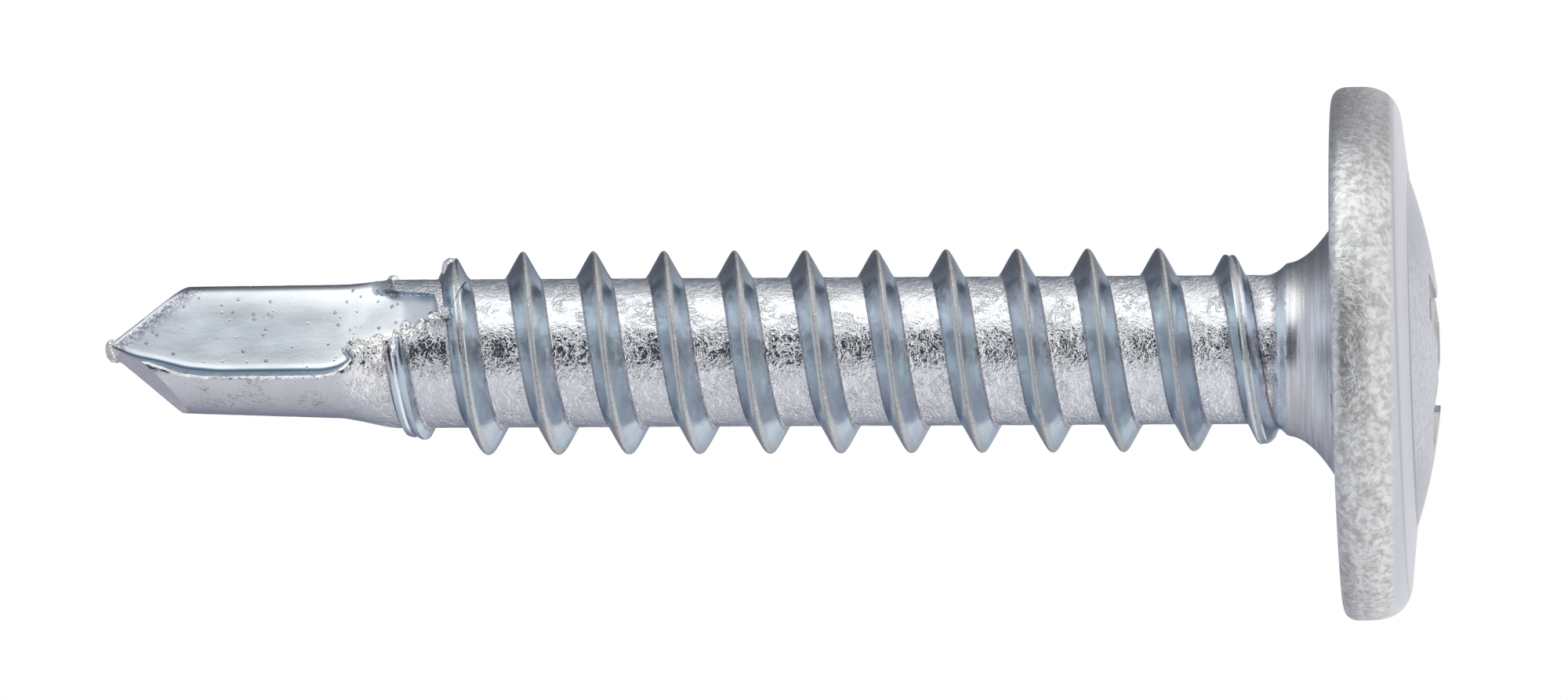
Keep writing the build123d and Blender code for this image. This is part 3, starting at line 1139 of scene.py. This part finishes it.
# The tent's light by direction, in degrees from the lens towards +X
TENT_STOPS = (
    (-180, (0.46, 0.47, 0.52)),
    (-135, (0.42, 0.42, 0.48)),
    (-90, (0.50, 0.51, 0.55)),
    (-45, (0.60, 0.62, 0.665)),
    (-24, (0.60, 0.62, 0.665)),
    (-16, (0.06, 0.065, 0.08)),
    (28, (0.035, 0.04, 0.05)),
    (33, (0.66, 0.70, 0.75)),
    (40, (0.86, 0.90, 0.94)),
    (52, (1.22, 1.24, 1.24)),
    (88, (1.24, 1.26, 1.26)),
    (100, (0.60, 0.62, 0.66)),
    (130, (0.34, 0.35, 0.38)),
)
TENT_ROOF = (0.56, 0.60, 0.67)
TENT_FOOT = (0.72, 0.76, 0.83)


def lay_floor():
    """A pale card, plain white where a ray sees it from afar, which keeps the screw's shadow near it."""
    floor = add_primitive("floor", "circle", vertices=96, radius=120 * MM, fill_type="NGON")
    place_points(floor, points_of(floor) + (0, 0, FRAME_LOW.z))
    material, wire = new_material("floor_card")
    lit = wire.node("BsdfDiffuse", None, {"Color": (0.86, 0.86, 0.87, 1)})
    plain = wire.node("Emission", None, {"Color": (1, 1, 1, 1), "Strength": 1.0})
    camera, glossy, through = (wire.node("LightPath", output=ray) for ray in SEEN_RAYS)
    seen = wire.math("MAXIMUM", camera, wire.math("MAXIMUM", glossy, through))
    *_, radius = object_place(wire)
    near, far = 12, 80  # millimetres from the screw
    least_plain = 0.68
    share_of_plain = seen * (least_plain + (1 - least_plain) * radius.step(near, far))
    surface = wire.node("MixShader", None, {0: share_of_plain, 1: lit, 2: plain})
    wire.node("OutputMaterial", None, {"Surface": surface})
    floor.data.materials.append(material)


def pitch_tent():
    """A tent of glowing cloth round the screw, bright on one side and dark along the slot for the lens."""
    cylinder = {"vertices": 96, "radius": 180 * MM, "depth": 640 * MM, "end_fill_type": "NGON"}
    tent = add_primitive("light_tent", "cylinder", **cylinder)
    place_points(tent, points_of(tent) + (0, 0, -90 * MM))
    material, wire = new_material("tent_cloth")
    _, x, y, z, _ = object_place(wire)
    swing = wire.math("ARCTAN2", x, -1 * y) / TURN + 0.5
    stops = [(degrees / 360 + 0.5, tint) for degrees, tint in TENT_STOPS]
    sides = wire.node("ValToRGB", {"stops": stops}, {"Fac": swing})
    roof_from, roof_to = 200, 229  # heights in millimetres
    foot_from, foot_to = -50, -190
    glow = layered(sides, (z.step(roof_from, roof_to), TENT_ROOF), (z.step(foot_from, foot_to), TENT_FOOT))
    shader = wire.node("Emission", None, {"Color": glow, "Strength": 1.0})
    wire.node("OutputMaterial", None, {"Surface": shader})
    tent.data.materials.append(material)
    tent.visible_camera = False


def aim_camera():
    """A long lens just above the floor, rolled so that the screw lies across the picture."""
    distance = 260 * MM
    picture_width = 31.95 * MM
    aim = Vector((0.04 * MM, 0, 11.25 * MM))
    lens_height = FRAME_LOW.z + 0.005 * MM
    tilt = -0.0051  # how far the picture's right goes towards +X, for each unit towards -Z
    dip = math.asin((aim.z - lens_height) / distance)
    back = Vector((0, -math.cos(dip), -math.sin(dip)))
    right = Vector((tilt, 0, -1))
    right = (right - right.dot(back) * back).normalized()
    turn = Matrix((right, back.cross(right), back)).transposed().to_4x4()
    data = bpy.data.cameras.new("camera")
    data.sensor_width = SENSOR_WIDTH
    data.lens = SENSOR_WIDTH * distance / picture_width
    data.clip_start = 1 * MM
    camera = bpy.data.objects.new("camera", data)
    camera.matrix_world = Matrix.Translation(aim + back * distance) @ turn
    bpy.context.scene.collection.objects.link(camera)
    bpy.context.scene.camera = camera


def white_world():
    """A plain white world, shown as it is."""
    world = bpy.data.worlds.new("white_world")
    world.use_nodes = True
    world.node_tree.nodes["Background"].inputs["Color"].default_value = (1, 1, 1, 1)
    bpy.context.scene.world = world
    bpy.context.scene.view_settings.view_transform = "Standard"


class SCREW_PT_panel(bpy.types.Panel):
    """Lists the screw's sizes and its operators"""

    bl_idname = "SCREW_PT_panel"
    bl_label = "Self Drilling Screw"
    bl_space_type = "VIEW_3D"
    bl_region_type = "UI"
    bl_category = "Screw"

    def draw(self, context):
        for name in GROUPS:
            box = self.layout.box()
            group = getattr(context.scene, name)
            box.label(text=name.replace("_", " ").title())
            for prop in group.bl_rna.properties:
                if not prop.is_readonly and prop.identifier != "name":
                    box.prop(group, prop.identifier)
        self.layout.operator(SCREW_OT_model.bl_idname)
        self.layout.operator(SCREW_OT_stage.bl_idname)


GROUPS = {
    "screw_shank": ShankSizes,
    "screw_thread": ThreadSizes,
    "screw_head": HeadSizes,
    "screw_recess": RecessSizes,
    "screw_point": PointSizes,
    "screw_zinc": ZincFinish,
}
CLASSES = (*GROUPS.values(), SCREW_OT_model, SCREW_OT_stage, SCREW_PT_panel)


def register():
    for item in CLASSES:
        bpy.utils.register_class(item)
    for name, group in GROUPS.items():
        setattr(bpy.types.Scene, name, PointerProperty(type=group))


def unregister():
    for name in GROUPS:
        delattr(bpy.types.Scene, name)
    for item in reversed(CLASSES):
        bpy.utils.unregister_class(item)


def main():
    """Models the screw and its stage."""
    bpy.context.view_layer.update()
    register()
    bpy.ops.screw.model()
    bpy.ops.screw.stage()


if __name__ == "__main__":
    main()
